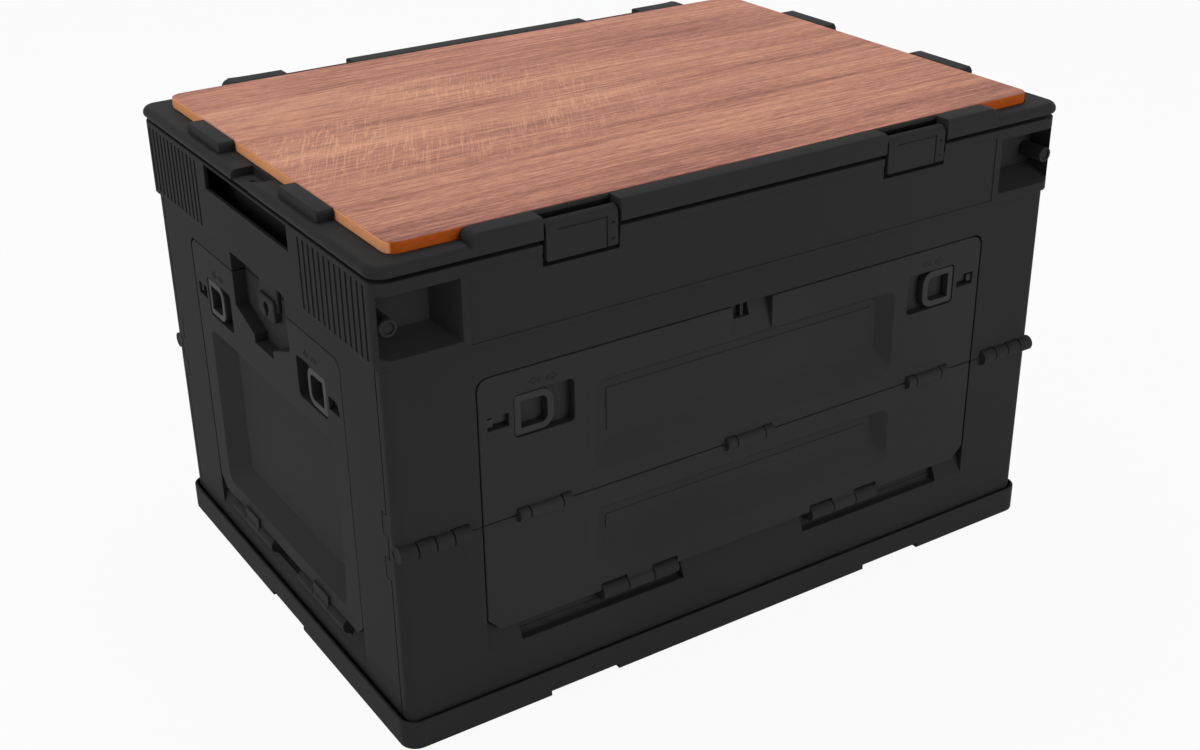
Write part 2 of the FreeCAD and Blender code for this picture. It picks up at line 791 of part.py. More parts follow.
def base_tray():
    tray = inset_block(0, (0, rim_top))
    tray = soft_top(soft_bottom(tray, soft_edge), soft_edge)
    inside = inset_block(rim_wall, (floor_top, rim_top + overrun))
    under = inset_block(foot_width, (-overrun, floor_low))
    notch_z = (-overrun, foot_notch_height)
    notch_x = span(half_length * foot_notch_share, foot_notch_width)
    long_notch = slab(notch_x, (-half_depth - overrun, foot_width - half_depth), notch_z)
    end_notch_y = (-half_length - overrun, foot_width - half_length)
    end_notch = slab(span(0, foot_notch_width), end_notch_y, notch_z)
    tray = tray.cut([inside, under] + four_corners(long_notch) + both_ways([end_notch], 90))
    lugs = [hinge_lug(x, base_axis, (floor_low, base_axis_z)) for x in long_lugs]
    ribs = both_ways(rim_ribs(half_length, -half_depth, long_out))
    ribs += both_ways(rim_ribs(half_depth, -half_length, end_out), 90)
    return tray.fuse(both_ways(lugs) + ribs).removeSplitter()


def corner_pocket(grow):
    """The hollow at a front corner of the band, or its housing when grown by the skin."""
    front = -half_depth - overrun
    back = pocket_back + grow
    near = band_left + frame_skin - grow
    mouth_in = band_left + pocket_width + grow
    back_in = mouth_in - pocket_slope
    low = pocket_low - grow
    high = pocket_high + grow
    corners = [(near, front), (mouth_in, front), (mouth_in, band_front), (back_in, back), (near, back)]
    plan = prism([vec(x, y, low) for x, y in corners], vec(0, 0, high - low))
    side = [(front, low), (band_front, low), (back, low + pocket_floor_rise), (back, high), (front, high)]
    return plan.common(prism([vec(near, y, z) for y, z in side], vec(mouth_in - near, 0, 0)))


def latch_notch(grow):
    """The hollow in the band behind a latch, or its housing when grown by the skin."""
    y = (-half_depth - overrun, keeper_back + grow)
    high = frame_top if grow else frame_top + overrun
    return slab(grown(latch_gap, grow), y, (frame_top - latch_notch_drop - grow, high))


def grip_grooves():
    """The upright grooves each side of a hand slot, which leave grip ribs between them."""
    near = half_depth * grip_share
    pitch = (half_depth - corner_radius - near) / grip_count
    y = (-half_length - overrun, band_left + grip_sink)
    z = grown((frame_low, frame_top), -grip_margin)
    places = [near + pitch * (i + 1 / 2) for i in range(grip_count)]
    grooves = [slab(span(x, pitch * grip_groove_share), y, z) for x in places]
    return grooves + [mirrored(groove) for groove in grooves]


def top_frame():
    outer = inset_block(band_inset, (frame_low, frame_top))
    outer = soft_top(soft_bottom(outer, soft_edge), soft_edge)
    hollow = inset_block(band_inset + frame_skin, (frame_low - overrun, frame_top - frame_skin))
    mouth = inset_block(frame_flange_width, grown((frame_low, frame_top), overrun))
    skirt = inset_block(frame_flange_width - frame_skin, (frame_top - skirt_height, frame_top))
    frame = outer.cut(hollow).fuse(skirt.cut(mouth)).cut(mouth)
    housings = four_corners(corner_pocket(frame_skin)) + four_corners(latch_notch(frame_skin))
    lug_z = (frame_axis_z, frame_top - frame_skin / 2)
    lugs = both_ways([hinge_lug(x, frame_axis, lug_z) for x in long_lugs])
    lugs += both_ways([hinge_lug(x, end_frame_axis, lug_z) for x in end_lugs], 90)
    frame = frame.fuse([housing.common(outer) for housing in housings] + lugs)
    slot_top = frame_top - hand_slot_drop
    slot_y = (-half_length - overrun, frame_flange_width - half_length + overrun)
    slot = slab((-hand_slot_half, hand_slot_half), slot_y, (slot_top - hand_slot_height, slot_top))
    hole_y = span(flange_hole_in - half_length, flange_hole)
    hole = slab(span(0, flange_hole), hole_y, (slot_top - overrun, frame_top + overrun))
    panel_half = half_length - band_panel_margin
    panel_z = (frame_low + band_panel_rise, frame_top - band_panel_drop)
    panel_y = (-half_depth - overrun, band_front + band_panel_sink)
    panel = slab((-panel_half, panel_half), panel_y, panel_z)
    hollows = four_corners(corner_pocket(0)) + four_corners(latch_notch(0))
    frame = frame.cut(hollows + both_ways([panel]) + both_ways([slot, hole] + grip_grooves(), 90))
    keeper_z = (frame_top - keeper_drop, frame_top - keeper_drop + keeper_height)
    keeper = slab(latch_gap, (keeper_back - keeper_rise, keeper_back), keeper_z)
    return frame.fuse(four_corners(keeper)).removeSplitter()


def corner_post():
    """A round tie post that stands out of a corner pocket, with a ring at its end."""
    front = band_front + post_short
    end = vec(band_left + post_in, front, (pocket_low + pocket_high) / 2)
    post = Part.makeCylinder(post_radius, pocket_back - front, end, along_y)
    return post.cut(Part.makeCylinder(post_radius - post_ring, post_dish, end, along_y))


def ridge():
    """The raised rail on the lid's long border that keeps the board in place."""
    y = (-half_depth, -board_half_depth - board_play)
    rail = slab((-ridge_end, ridge_end), y, (lid_low + lid_under_radius, ridge_top))
    shoulders = edges_along(rail, along_y, lambda p: p.z > lid_top)
    rail = rail.makeFillet(ridge_end_radius, shoulders)
    front = [e for e in rail.Edges if e.BoundBox.YMax < sum(y) / 2 and e.BoundBox.XLength > soft_edge]
    return rail.makeFillet(ridge_edge_radius, [e for e in front if e.CenterOfMass.z > lid_top])


def lid_lug():
    """A low block on the lid's end border that keeps the board in place."""
    y = (lug_in - half_length, -board_half_length - board_play)
    x = [half_depth * share for share in lug_shares]
    block = slab(x, y, (lid_low + lid_under_radius, ridge_top))
    block = block.makeFillet(lug_edge_radius, edges_along(block, up, everywhere))
    return soft_top(block, lug_edge_radius * lug_top_share)


def lid_ring(inset, width, low):
    """A closed rib under the lid, at an inset from its edge."""
    z = (low, lid_low + lid_under_radius)
    return inset_block(inset, z).cut(inset_block(inset + width, grown(z, overrun)))


def lid_panel():
    lid = inset_block(0, (lid_low, lid_top))
    lid = soft_bottom(soft_top(lid, lid_edge_radius), lid_under_radius)
    locator_in = frame_flange_width + lid_locator_gap
    rings = [lid_ring(lid_rest_in, lid_rest_width, frame_top + clearance)]
    rings.append(lid_ring(locator_in, lid_locator_width, lid_low - lid_locator_drop))
    lid = lid.fuse(both_ways([ridge()]) + both_ways(both_sides(lid_lug()), 90) + rings)
    seat_z = (lid_top - board_seat, height + overrun)
    seat = upright_block(board_half_length + board_play, board_half_depth + board_play, board_radius, seat_z)
    gap_y = (-half_depth - overrun, -board_half_depth - board_play - ridge_back)
    gap = slab(latch_gap, gap_y, (frame_top - overrun, height + overrun))
    bore = rod(latch_axis, latch_pin_radius + pin_play, grown(latch_gap, latch_pin_seat))
    notch_y = (-half_length - overrun, end_notch_in - half_length)
    notch_x = span(0, end_notch_width)
    notch_z = grown((lid_low, lid_top), overrun)
    slant = [(notch_x[0], notch_z[0]), (notch_x[1], notch_z[0]), (notch_x[1], lid_low)]
    slant += [(notch_x[1] + end_notch_slant, lid_top), (notch_x[1] + end_notch_slant, notch_z[1])]
    slant.append((notch_x[0], notch_z[1]))
    notch = prism([vec(x, notch_y[0], z) for x, z in slant], vec(0, notch_y[1] - notch_y[0], 0))
    cuts = [seat] + four_corners(gap) + four_corners(bore) + both_ways([notch], 90)
    return lid.cut(cuts).removeSplitter()


def latch():
    """A lid latch: a barrel on its pin, a plate down over the band, and a lip inside its foot."""
    x = span(latch_x, latch_width)
    face = latch_axis[0] - latch_barrel_radius
    back = face + latch_plate_thick
    low = frame_top - latch_plate_drop
    axis_z = latch_axis[1]
    plate = slab(x, (face, back), (low, axis_z))
    foot = edges_along(plate, along_y, lambda p: p.z < axis_z - latch_barrel_radius)
    plate = plate.makeFillet(latch_corner_radius, foot)
    lip_tip = keeper_back - keeper_rise - clearance
    lip_x = grown(x, -latch_corner_radius)
    lip = slab(lip_x, (back - latch_line, lip_tip), (low, low + latch_lip_height))
    body = rod(latch_axis, latch_barrel_radius, x).fuse([plate, lip])
    line_y = (face - overrun, face + latch_line_sink)
    line_x = (x[1] - latch_strip - latch_line, x[1] - latch_strip)
    side_line = slab(line_x, line_y, (low - overrun, axis_z))
    top_line = slab((x[0] + latch_strip, line_x[1]), line_y, (axis_z - latch_line, axis_z))
    strip_x = x[1] - latch_strip / 2
    dots = []
    for z in (low + latch_dot_margin, axis_z - latch_dot_margin):
        dots.append(Part.makeCylinder(latch_dot_radius, latch_line_sink, vec(strip_x, face, z), along_y))
    bore = rod(latch_axis, latch_pin_radius + pin_play, grown(x, overrun))
    return body.cut([side_line, top_line, bore] + dots).removeSplitter()


def wood_board():
    board = upright_block(board_half_length, board_half_depth, board_radius, (board_low, height))
    return soft_top(board, board_edge)


# Long sides: the back is the front turned half round
long_lock = slide_lock(door_half, long_out)
long_pieces = {
    "lower_wall": [long_lower_wall()],
    "upper_wall": [long_upper_wall()],
    "door_lower": [long_door_lower()],
    "door_upper": [long_door_upper()],
    "sill_pins": [hinge_pin(sill_axis, sill_pin_radius, runs) for runs in sill_runs],
    "door_mid_pins": [hinge_pin(mid_axis, mid_pin_radius, runs) for runs in mid_runs],
    "wall_mid_pins": [hinge_pin(mid_axis, corner_pin_radius, runs) for runs in corner_runs],
    "wall_base_pins": lug_pins(base_axis, long_lugs),
    "wall_frame_pins": lug_pins(frame_axis, long_lugs),
    "lock_right": [long_lock],
    "lock_left": [mirrored(long_lock)],
}
for side, angle in (("front", 0), ("back", 180)):
    for name, shapes in long_pieces.items():
        save(side + "_" + name, [turned(shape, angle) for shape in shapes])

# Ends: one end turned a quarter each way
end_lock = slide_lock(end_door_half, end_out)
end_pieces = {
    "end_wall": [end_wall()],
    "end_door": [end_door()],
    "end_door_pins": [hinge_pin(end_axis, sill_pin_radius, runs) for runs in end_runs],
    "end_wall_pins": lug_pins(end_frame_axis, end_lugs),
    "end_lock_right": [end_lock],
    "end_lock_left": [mirrored(end_lock)],
}
for side, angle in (("left", -90), ("right", 90)):
    for name, shapes in end_pieces.items():
        save(side + "_" + name, [turned(shape, angle) for shape in shapes])

# Base, frame and lid
save("base_tray", [base_tray()])
save("top_frame", [top_frame()])
save("corner_posts", four_corners(corner_post()))
save("lid_panel", [lid_panel()])
save("wood_board", [wood_board()])
latch_bar = rod(latch_axis, latch_pin_radius, grown(latch_gap, latch_pin_seat - clearance))
save("latch_pins", four_corners(latch_bar))
right_latch = latch()
left_latch = right_latch.translated(vec(-2 * latch_x, 0, 0))
for hand, piece in (("right", right_latch), ("left", left_latch)):
    save("front_latch_" + hand, [piece])
    save("back_latch_" + hand, [turned(piece, 180)])
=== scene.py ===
# %% [markdown]
# # A folding camping box, dressed for its picture
#
# The box itself comes from the CAD model: every wall, door, hinge, lock and latch is already a
# solid in the right place. What is left for Blender is how the box looks: the grain of the black
# plastic, the timber of the board, a few small moulded forms, the light and the camera.
# We start by loading the model as a fixed frame.

# %% Load the frame
from math import cos, radians, sin
import bmesh
import bpy
from mathutils import Matrix, Vector


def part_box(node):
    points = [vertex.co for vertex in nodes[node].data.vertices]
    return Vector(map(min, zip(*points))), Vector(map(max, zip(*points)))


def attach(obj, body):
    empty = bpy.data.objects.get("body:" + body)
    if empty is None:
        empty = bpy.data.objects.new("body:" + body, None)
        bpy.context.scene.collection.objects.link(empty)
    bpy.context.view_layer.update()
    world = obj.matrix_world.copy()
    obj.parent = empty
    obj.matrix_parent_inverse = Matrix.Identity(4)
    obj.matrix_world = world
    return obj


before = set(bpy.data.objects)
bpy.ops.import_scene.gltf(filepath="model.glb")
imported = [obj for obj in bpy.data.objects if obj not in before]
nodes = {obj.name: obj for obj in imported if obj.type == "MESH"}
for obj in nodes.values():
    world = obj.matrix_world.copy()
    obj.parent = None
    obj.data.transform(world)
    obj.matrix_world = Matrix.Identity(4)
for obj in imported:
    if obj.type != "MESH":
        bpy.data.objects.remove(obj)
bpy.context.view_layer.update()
print("pieces from the CAD model:", len(nodes))

# %% [markdown]
# ## Shader maths as Python
#
# A procedural finish is mostly sums: a little noise times a strength, plus a base value. Written
# node by node, that is hard to read. So a small class wraps a socket and lets us write the sum as
# it would stand on paper. Each operator adds one Math node, and the reflected forms let a plain
# number stand on the left, as in `1 - mask`.

# %% The wire, the graph and the finish
BLACK = (0.0, 0.0, 0.0)
WHITE = (1.0, 1.0, 1.0)


class Wire:
    """A socket of a node tree that can be used in a sum."""

    def __init__(self, graph, socket):
        self.graph = graph
        self.socket = socket

    def maths(self, operation, first, second):
        return self.graph.node("ShaderNodeMath", {"operation": operation}, {0: first, 1: second})

    def __add__(self, other):
        return self.maths("ADD", self, other)

    def __sub__(self, other):
        return self.maths("SUBTRACT", self, other)

    def __rsub__(self, other):
        return self.maths("SUBTRACT", other, self)

    def __mul__(self, other):
        return self.maths("MULTIPLY", self, other)

    def __pow__(self, other):
        return self.maths("POWER", self, other)

    __radd__ = __add__
    __rmul__ = __mul__


class Graph:
    """The node tree of a material or a world, built up by its nodes."""

    def __init__(self, owner):
        owner.use_nodes = True
        self.owner = owner
        self.tree = owner.node_tree

    def node(self, kind, settings=None, sockets=None, output=0):
        """Any node: its settings first, then the values or links of its sockets."""
        made = self.tree.nodes.new(kind)
        for name, value in (settings or {}).items():
            if name == "stops":
                self.set_stops(made.color_ramp, value)
            else:
                setattr(made, name, value)
        for name, value in (sockets or {}).items():
            self.plug(made.inputs[name], value)
        return Wire(self, made.outputs[output])

    def set_stops(self, ramp, stops):
        while len(ramp.elements) < len(stops):
            ramp.elements.new(1.0)
        for element, (place, colour) in zip(ramp.elements, stops):
            element.position = place
            element.color = (*colour, 1.0)

    def plug(self, socket, value):
        if isinstance(value, Wire):
            self.tree.links.new(value.socket, socket)
        else:
            socket.default_value = value

    def parts(self, vector, axes):
        """Single coordinates of a vector."""
        return [self.node("ShaderNodeSeparateXYZ", None, {"Vector": vector}, output=axis)
                for axis in axes]

    def backdrop(self, plain, white, share):
        """End in white, by a share, for what the eye sees directly, in gloss or through glass."""
        camera, glossy, glass = [self.node("ShaderNodeLightPath", output=f"Is {ray} Ray")
                                 for ray in ("Camera", "Glossy", "Transmission")]
        clamped_sum = {"operation": "ADD", "use_clamp": True}
        seen = self.node("ShaderNodeMath", clamped_sum, {0: camera + glossy, 1: glass})
        both = self.node("ShaderNodeMixShader", None, {0: seen * share, 1: plain, 2: white})
        end = next(node for node in self.tree.nodes if node.type.startswith("OUTPUT"))
        self.plug(end.inputs["Surface"], both)
        return self.owner


class Finish(Graph):
    """A material with one Principled shader."""

    def __init__(self, name):
        super().__init__(bpy.data.materials.new(name))
        self.shader = self.tree.nodes["Principled BSDF"]

    def surface(self, **sockets):
        """Plug the shader's own sockets, with _ for the spaces of their names."""
        for name, value in sockets.items():
            self.plug(self.shader.inputs[name.replace("_", " ")], value)
        return self.owner

    def place(self, stretch=(1.0, 1.0, 1.0), turned=0.0):
        """Where a point lies on its piece, in metres, turned round Z and then stretched."""
        here = self.node("ShaderNodeTexCoord", output="Object")
        spin = {"Vector": here, "Rotation": (0.0, 0.0, turned)}
        spun = self.node("ShaderNodeMapping", None, spin)
        return self.node("ShaderNodeMapping", None, {"Vector": spun, "Scale": stretch})

    def noise(self, where, scale=1.0, detail=2.0, rough=0.5, warp=0.0):
        sockets = {"Vector": where, "Scale": scale, "Detail": detail, "Roughness": rough,
                   "Distortion": warp}
        return self.node("ShaderNodeTexNoise", None, sockets)

    def sine(self, value):
        return self.node("ShaderNodeMath", {"operation": "SINE"}, {0: value})

    def ramp(self, value, stops):
        return self.node("ShaderNodeValToRGB", {"stops": stops}, {"Fac": value})

    def mix(self, share, first, second):
        """Two colours mixed by a share."""
        mixer = self.node("ShaderNodeMix", {"data_type": "RGBA"}).socket.node
        self.plug(mixer.inputs["Factor"], share)
        colours = [socket for socket in mixer.inputs if socket.type == "RGBA"]
        self.plug(colours[0], first)
        self.plug(colours[1], second)
        return Wire(self, next(socket for socket in mixer.outputs if socket.type == "RGBA"))


print("shader helpers ready")

# %% [markdown]
# ## The black plastic
#
# The box is moulded from charcoal polypropylene with a fine spark-eroded grain: matt, but with a
# soft sheen where the light grazes it. Three things make it read as plastic. A fine noise gives
# the grain as a bump. A wide noise moves the roughness a little, as handling does. And a Bevel
# node rounds the normals at every edge, because a real mould has no sharp corners, and those thin
# light lines along the edges are most of what we see of a black box.

# %% Plastic finishes
GRAIN_SCALE = 1500.0
GRAIN_DEPTH = 0.00006
MOTTLE_SCALE = 9.0
MOTTLE_DARK = (0.86, 0.86, 0.88)
MOTTLE_LIGHT = (1.14, 1.14, 1.14)
ROUGH_START = -0.06
ROUGH_MOTTLE = 0.08
ROUGH_GRAIN = 0.05
EDGE_RADIUS = 0.0008
EDGE_SAMPLES = 6


def black_plastic(name, shade, roughness, grain, sheen):
    finish = Finish(name)
    where = finish.place()
    fine = finish.noise(where, GRAIN_SCALE, detail=3.0, rough=0.6)
    mottle = finish.noise(where, MOTTLE_SCALE, detail=4.0)
    rounded = finish.node("ShaderNodeBevel", {"samples": EDGE_SAMPLES}, {"Radius": EDGE_RADIUS})
    sockets = {"Strength": grain, "Distance": GRAIN_DEPTH, "Height": fine, "Normal": rounded}
    bumped = finish.node("ShaderNodeBump", None, sockets)
    dark, light = [(*(shade * share for share in shares), 1.0)
                   for shares in (MOTTLE_DARK, MOTTLE_LIGHT)]
    return finish.surface(
        Base_Color=finish.mix(mottle, dark, light),
        Roughness=roughness + ROUGH_START + ROUGH_MOTTLE * mottle + ROUGH_GRAIN * fine,
        Specular_IOR_Level=sheen,
        Normal=bumped,
    )


shell_plastic = black_plastic("shell_plastic", 0.024, 0.60, 0.30, 0.025)
door_plastic = black_plastic("door_plastic", 0.0275, 0.60, 0.26, 0.025)
lid_plastic = black_plastic("lid_plastic", 0.0235, 0.54, 0.22, 0.03)
lock_plastic = black_plastic("lock_plastic", 0.023, 0.48, 0.14, 0.12)
plastics = (shell_plastic, door_plastic, lid_plastic, lock_plastic)
print("plastic finishes:", [plastic.name for plastic in plastics])

# %% [markdown]
# ## The wooden board
#
# The board is a panel with a walnut-like face: reddish brown, with soft darker bands along the
# grain, fine streaks and pores in them, and pale scratches across the grain where a saw blade
# passed. An image would be the quick way, but a formula keeps its sharpness at any distance. Every
# layer here is noise that is stretched one way: along the board for the bands, streaks and pores,
# aslant across it for the saw marks. The marks crowd in one long patch left of the middle, so a
# bell over the place on the board fades them out. The lines of the figure are the contours of a
# slow noise, as the rings of a tree are when a plank is cut. The sides are plainer than the face:
# the ends are pale and the long sides deep orange. The pale colour of the ends is partly the wood
# and partly painted light from the side lamp. Face, ends and sides are told apart by the
# direction of the normal.

# %% Grain of the face
BAND_STRETCH = (1.3, 11.0, 11.0)
BLUSH_STRETCH = (0.9, 8.0, 8.0)
RING_STRETCH = (0.9, 6.5, 6.5)
STREAK_STRETCH = (9.0, 330.0, 330.0)
PORE_STRETCH = (120.0, 800.0, 800.0)
RING_COUNT = 95.0
BAND_SHARE, STREAK_SHARE, PORE_SHARE = 0.38, 0.36, 0.26
RING_SHARE, RING_SHARE_IN_BLUSH = 0.010, 0.035
BLUSH_COVER = 0.45
BLUSH_FADE = [(0.48, BLACK), (0.66, WHITE)]
DARK_WOOD = (0.245, 0.089, 0.068)
MID_WOOD = (0.497, 0.209, 0.142)
PALE_WOOD = (0.727, 0.355, 0.222)
BLUSH_WOOD = (0.396, 0.182, 0.155, 1.0)
WOOD_STOPS = [(0.42, DARK_WOOD), (0.51, MID_WOOD), (0.59, PALE_WOOD)]


def wood_grain(finish):
    """The colour of the grain, and the streaks and pores in it."""
    bands = finish.noise(finish.place(BAND_STRETCH), detail=4.0, rough=0.55)
    figure = finish.noise(finish.place(RING_STRETCH), detail=3.0, rough=0.45)
    rings = finish.sine(figure * RING_COUNT)
    streaks = finish.noise(finish.place(STREAK_STRETCH), detail=5.0, rough=0.75)
    pores = finish.noise(finish.place(PORE_STRETCH), detail=3.0, rough=0.7)
    blush = finish.ramp(finish.noise(finish.place(BLUSH_STRETCH), detail=3.0), BLUSH_FADE)
    tone = bands * BAND_SHARE + streaks * STREAK_SHARE + pores * PORE_SHARE
    tone = tone + rings * (RING_SHARE + RING_SHARE_IN_BLUSH * blush)
    colour = finish.mix(blush * BLUSH_COVER, finish.ramp(tone, WOOD_STOPS), BLUSH_WOOD)
    return colour, streaks, pores


print("layers of the grain: 5")

# %% Saw marks and edges
SAW_STRETCH = (430.0, 17.0, 17.0)
SAW_TURN = radians(28)
SCORE_STRETCH = (17.0, 470.0, 470.0)
SCORE_SHARE = 0.5
PATCH_STRETCH = (7.0, 12.0, 12.0)
PATCH_FADE = [(0.36, BLACK), (0.58, WHITE)]
THIN_LINE = [(0.455, BLACK), (0.485, WHITE), (0.515, WHITE), (0.545, BLACK)]
SAW_MIDDLE = (-0.12, 0.012)
SAW_REACH = (0.24, 0.115)
SAW_FADE = [(0.15, WHITE), (1.0, BLACK)]
EDGE_STRETCH = (220.0, 220.0, 900.0)
SIDE_WOOD = ((0.30, 0.050, 0.004, 1.0), (0.44, 0.092, 0.012, 1.0))
# Colour of the board's ends: partly its wood, partly painted light from the side lamp.
END_WOOD_AND_LIGHT = ((0.70, 0.285, 0.125, 1.0), (0.88, 0.400, 0.190, 1.0))
END_FADE = [(0.40, BLACK), (0.60, WHITE)]


def saw_marks(finish):
    """How much of a saw mark there is: thin lines aslant and along, in patches within a bell."""
    aslant = finish.noise(finish.place(SAW_STRETCH, SAW_TURN), detail=1.0, warp=0.25)
    lengthwise = finish.noise(finish.place(SCORE_STRETCH), detail=1.0, warp=0.15)
    patches = finish.ramp(finish.noise(finish.place(PATCH_STRETCH), detail=3.0), PATCH_FADE)
    spot = finish.parts(finish.place(), "XY")
    away = [((part - middle) * (1 / reach)) ** 2
            for part, middle, reach in zip(spot, SAW_MIDDLE, SAW_REACH)]
    bell = finish.ramp(away[0] + away[1], SAW_FADE)
    lines = finish.ramp(aslant, THIN_LINE) + finish.ramp(lengthwise, THIN_LINE) * SCORE_SHARE
    return lines * patches * bell


def edge_wood_and_light(finish, along):
    """The colour of the board's edges, by how far the normal points along the board."""
    fibres = finish.noise(finish.place(EDGE_STRETCH), detail=3.0)
    # Painted light: the ends are made paler than the sides, partly for the light that falls on
    # them.
    is_end = finish.ramp(along * along, END_FADE)
    return finish.mix(is_end, finish.mix(fibres, *SIDE_WOOD), finish.mix(fibres, *END_WOOD_AND_LIGHT))


print("parts of the board:", ["face", "sides", "ends"])

# %% Timber finish
SAWN_WOOD = (0.830, 0.443, 0.268, 1.0)
SAW_COVER = 0.50
FACE_FADE = [(0.70, BLACK), (0.80, WHITE)]
RELIEF = {"Strength": 0.3, "Distance": 0.0001}
PORE_RELIEF, STREAK_RELIEF, SAW_RELIEF = 0.6, 0.5, 0.4
OIL_COAT = 0.15


def timber(name):
    finish = Finish(name)
    grain, streaks, pores = wood_grain(finish)
    sawn = saw_marks(finish)
    along, up = finish.parts(finish.node("ShaderNodeTexCoord", output="Normal"), "XZ")
    is_face = finish.ramp(up, FACE_FADE)
    face_colour = finish.mix(sawn * SAW_COVER, grain, SAWN_WOOD)
    height = pores * PORE_RELIEF + streaks * STREAK_RELIEF - sawn * SAW_RELIEF
    return finish.surface(
        Base_Color=finish.mix(is_face, edge_wood_and_light(finish, along), face_colour),
        Roughness=0.50 + 0.16 * streaks,
        Specular_IOR_Level=0.05,
        Coat_Weight=OIL_COAT * is_face,
        Coat_Roughness=0.45,
        Normal=finish.node("ShaderNodeBump", None, {**RELIEF, "Height": height}),
    )


board_timber = timber("board_timber")
print("timber finish:", board_timber.name)

# %% [markdown]
# ## Steel pins
#
# The hinge pins hardly show, only their ends between two knuckles. They still get a true finish:
# drawn steel, with fine lines along the wire, made by a noise that is stretched a long way.

# %% Steel finish
DRAWN_STRETCH = (40.0, 2500.0, 2500.0)
STEEL_TONES = ((0.42, 0.42, 0.43, 1.0), (0.60, 0.60, 0.60, 1.0))


def drawn_steel(name):
    finish = Finish(name)
    lines = finish.noise(finish.place(DRAWN_STRETCH))
    tone = finish.mix(lines, *STEEL_TONES)
    return finish.surface(Base_Color=tone, Metallic=1.0, Roughness=0.26 + 0.16 * lines)


pin_steel = drawn_steel("pin_steel")
print("steel finish:", pin_steel.name)

# %% [markdown]
# ## Giving each piece its finish
#
# The nodes are named for what they are, so a short list of words is enough to sort them. The
# first word that a node's name holds decides.

# %% Assign the finishes
finish_by_word = [
    ("pins", pin_steel),
    ("board", board_timber),
    ("lock", lock_plastic),
    ("latch", shell_plastic),
    ("lid", lid_plastic),
    ("door", door_plastic),
    ("", shell_plastic),
]
for name, piece in nodes.items():
    material = next(material for word, material in finish_by_word if word in name)
    piece.data.materials.clear()
    piece.data.materials.append(material)
print("finished pieces:", len(nodes))

# %% [markdown]
# ## Arrows above the locks
#
# Above every finger ring two small outlined arrows show which way the lock slides. They are
# raised by a hair, too little to matter in the solid, so they are made here: one flat outline with
# a second one set in from it, joined to a thin band. Each pair is laid on the face of its door and
# rides with it.

# %% Raised arrows
ARROW_LENGTH = 0.0079
ARROW_HEIGHT = 0.0055
ARROW_LINE = 0.0007
ARROW_RISE = 0.00025
ARROW_ROOT = 0.0002
ARROW_LEVEL = 0.231
ARROW_GAP = 0.0064
SIDE_REACH, SIDE_LOCK_HALF = 0.18285, 0.1579
END_REACH, END_LOCK_HALF = 0.2621, 0.0767


def arrow_outline():
    """Corners of an arrow that points along +X, round its middle."""
    tip, half = ARROW_LENGTH / 2, ARROW_HEIGHT / 2
    corners = ((-tip, half / 2), (-tip, -half / 2), (0, -half / 2), (0, -half), (tip, 0),
               (0, half), (0, half / 2))
    return [Vector(corner) for corner in corners]


def set_in(corners, width):
    """The same outline, moved inward by a width."""
    moved = []
    for before, here, after in zip(corners[-1:] + corners[:-1], corners, corners[1:] + corners[:1]):
        first, second = (here - before).normalized(), (after - here).normalized()
        inward = [Vector((-way.y, way.x)) for way in (first, second)]
        middle = (inward[0] + inward[1]).normalized()
        moved.append(here + middle * width / middle.dot(inward[0]))
    return moved


def outlined_plate(name, outer, inner, levels, material):
    """A thin plate along Z with one hole, between an outer and an inner outline."""
    shape = bmesh.new()
    low_out, top_out, low_in, top_in = [
        [shape.verts.new((p.x, p.y, level)) for p in outline]
        for outline in (outer, inner) for level in levels]
    rings = (low_out, top_out, top_in, low_in)
    for lower, upper in zip(rings, rings[1:] + rings[:1]):
        for here in range(len(lower)):
            there = (here + 1) % len(lower)
            shape.faces.new((lower[here], lower[there], upper[there], upper[here]))
    mesh = bpy.data.meshes.new(name)
    shape.to_mesh(mesh)
    shape.free()
    mesh.materials.append(material)
    return mesh


def dress(name, mesh, place, body):
    """A piece of black plastic at its place, that rides on a body of the model."""
    piece = bpy.data.objects.new(name, mesh)
    bpy.context.collection.objects.link(piece)
    piece.matrix_world = place
    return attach(piece, body)


arrow_lines = arrow_outline(), set_in(arrow_outline(), ARROW_LINE)
arrow_mesh = outlined_plate("raised_arrow", *arrow_lines, (-ARROW_ROOT, ARROW_RISE), door_plastic)
arrow_count = 0
doors = [
    ("front_door_upper", 0, SIDE_REACH, SIDE_LOCK_HALF),
    ("back_door_upper", 180, SIDE_REACH, SIDE_LOCK_HALF),
    ("left_end_door", -90, END_REACH, END_LOCK_HALF),
    ("right_end_door", 90, END_REACH, END_LOCK_HALF),
]
for door, turned, reach, lock_half in doors:
    facing = Matrix.Rotation(radians(turned), 4, "Z") @ Matrix.Rotation(radians(90), 4, "X")
    for hand in (-1, 1):
        for way in (-1, 1):
            here = Vector((hand * lock_half + way * ARROW_GAP, ARROW_LEVEL, reach))
            spin = Matrix.Rotation(radians(90 - 90 * way), 4, "Z")
            place = facing @ Matrix.Translation(here) @ spin
            dress(f"{door}_arrow_{arrow_count}", arrow_mesh, place, door)
            arrow_count += 1
print("arrows:", arrow_count)

# %% [markdown]
# ## Caps on the rails and lugs
#
# Rails along the front and back of the lid, and lugs at its ends, keep the board in its place. In
# the picture they stand level with the face of the board, so that its long edges hardly show. In
# the solid model they end a little lower. A cap over each of them brings it up to the board. All
# caps are made the same way: the side view of a block with round shoulders, pulled across the rail
# from its inside to its outside, with the outer top edge rounded. A cap is made for the front, and
# turned for the other sides.

# %% Rail caps
CAP_SKIN = 0.00005
CAP_LOW = 0.3279
RAIL_HALF = 0.2043
RAIL_SHOULDER = 0.0060
RAIL_ROUND = 0.0024
GAP_NEAR = 0.1038
GAP_FAR = 0.1572
STRIP_WIDTH = 0.0022
STRIP_ROUND = 0.0010
LUG_NEAR = 0.0476
LUG_FAR = 0.1043
LUG_IN = 0.0065
LUG_ROUND = 0.0022
BOARD_PLAY = 0.0006
ARC_STEPS = 8
ROUND_STEPS = 4
SHARP_ANGLE = radians(40)

